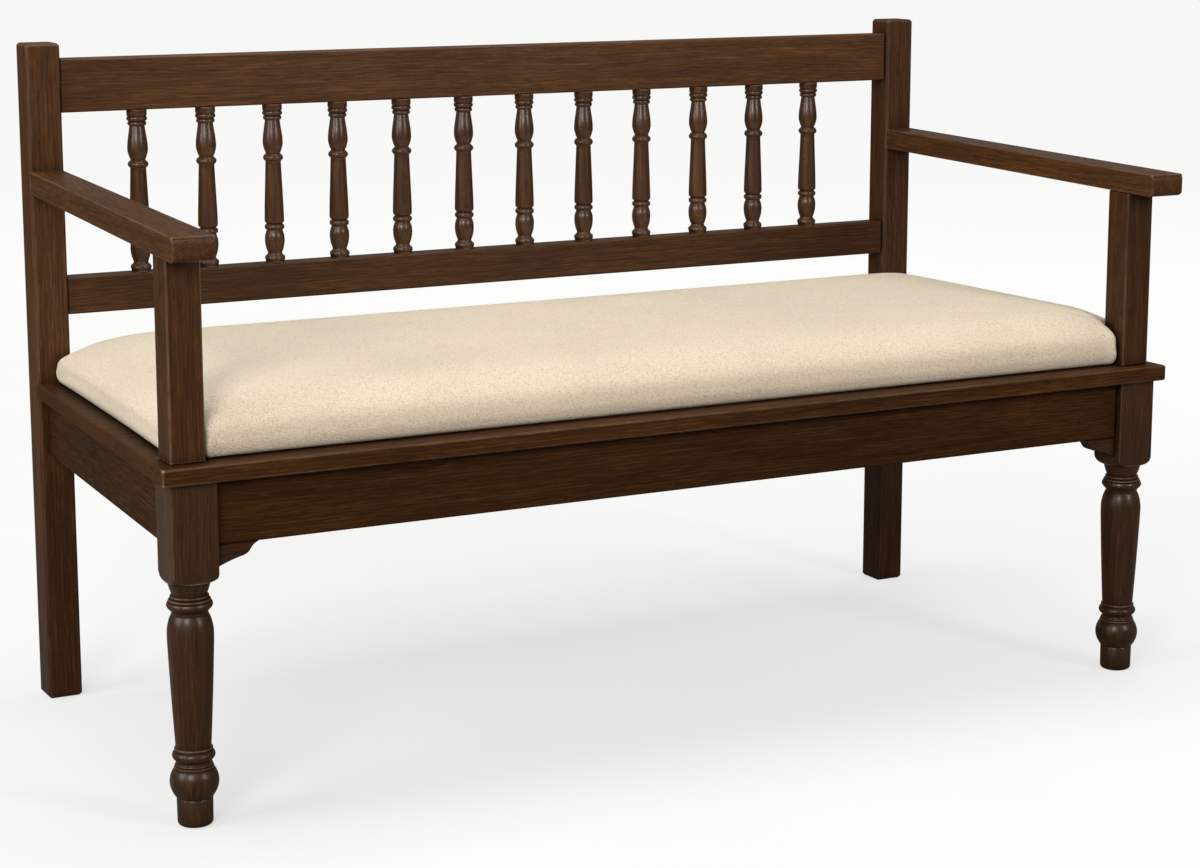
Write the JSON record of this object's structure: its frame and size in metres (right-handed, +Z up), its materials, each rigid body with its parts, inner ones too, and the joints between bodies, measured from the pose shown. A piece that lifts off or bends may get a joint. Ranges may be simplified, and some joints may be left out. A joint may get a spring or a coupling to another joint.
{
  "type": "church pew",
  "caption": "Open-backed hardwood pew with turned front legs and spindles, square posts and arms, scrolled apron brackets and a long upholstered seat pad.",
  "frame": {"origin": "on the floor, under the middle of the bounding box", "axes": "+X along the pew to the sitter's left, +Y to the rear, +Z up"},
  "size_m": [1.3858, 0.642, 0.85],
  "materials": {
    "stained_hardwood": "dark brown stain under satin varnish, fine straight grain",
    "plain_hardwood": "planed, unstained",
    "plywood": "sanded, bare",
    "pad_fabric": "cream plain-weave cloth over foam",
    "steel": "zinc-plated wood screws"
  },
  "bodies": {
    "root": {"rear_post_left": "stained_hardwood", "rear_post_right": "stained_hardwood", "front_leg_left": "stained_hardwood", "front_leg_right": "stained_hardwood", "arm_post_left": "stained_hardwood", "arm_post_right": "stained_hardwood", "armrest_left": "stained_hardwood", "armrest_right": "stained_hardwood", "crest_rail": "stained_hardwood", "lower_back_rail": "stained_hardwood", "front_apron": "stained_hardwood", "rear_apron": "stained_hardwood", "side_apron_left": "stained_hardwood", "side_apron_right": "stained_hardwood", "apron_bracket_left": "stained_hardwood", "apron_bracket_right": "stained_hardwood", "seat_plank_front": "stained_hardwood", "seat_plank_middle": "stained_hardwood", "seat_plank_rear": "stained_hardwood", "spindle_01": "stained_hardwood", "spindle_02": "stained_hardwood", "spindle_03": "stained_hardwood", "spindle_04": "stained_hardwood", "spindle_05": "stained_hardwood", "spindle_06": "stained_hardwood", "spindle_07": "stained_hardwood", "spindle_08": "stained_hardwood", "spindle_09": "stained_hardwood", "spindle_10": "stained_hardwood", "spindle_11": "stained_hardwood", "spindle_12": "stained_hardwood", "cross_bearer_left": "plain_hardwood", "cross_bearer_right": "plain_hardwood", "front_corner_block_left": "plain_hardwood", "front_corner_block_right": "plain_hardwood", "rear_corner_block_left": "plain_hardwood", "rear_corner_block_right": "plain_hardwood", "arm_post_dowel_left": "plain_hardwood", "arm_post_dowel_right": "plain_hardwood", "armrest_dowel_left": "plain_hardwood", "armrest_dowel_right": "plain_hardwood", "seat_screw_1_left": "steel", "seat_screw_1_right": "steel", "seat_screw_2_left": "steel", "seat_screw_2_right": "steel", "seat_screw_3_left": "steel", "seat_screw_3_right": "steel", "seat_screw_4_left": "steel", "seat_screw_4_right": "steel", "pad_screw_1_left": "steel", "pad_screw_1_right": "steel", "pad_screw_2_left": "steel", "pad_screw_2_right": "steel", "pad_base": "plywood", "seat_pad": "pad_fabric"}
  },
  "joints": []
}
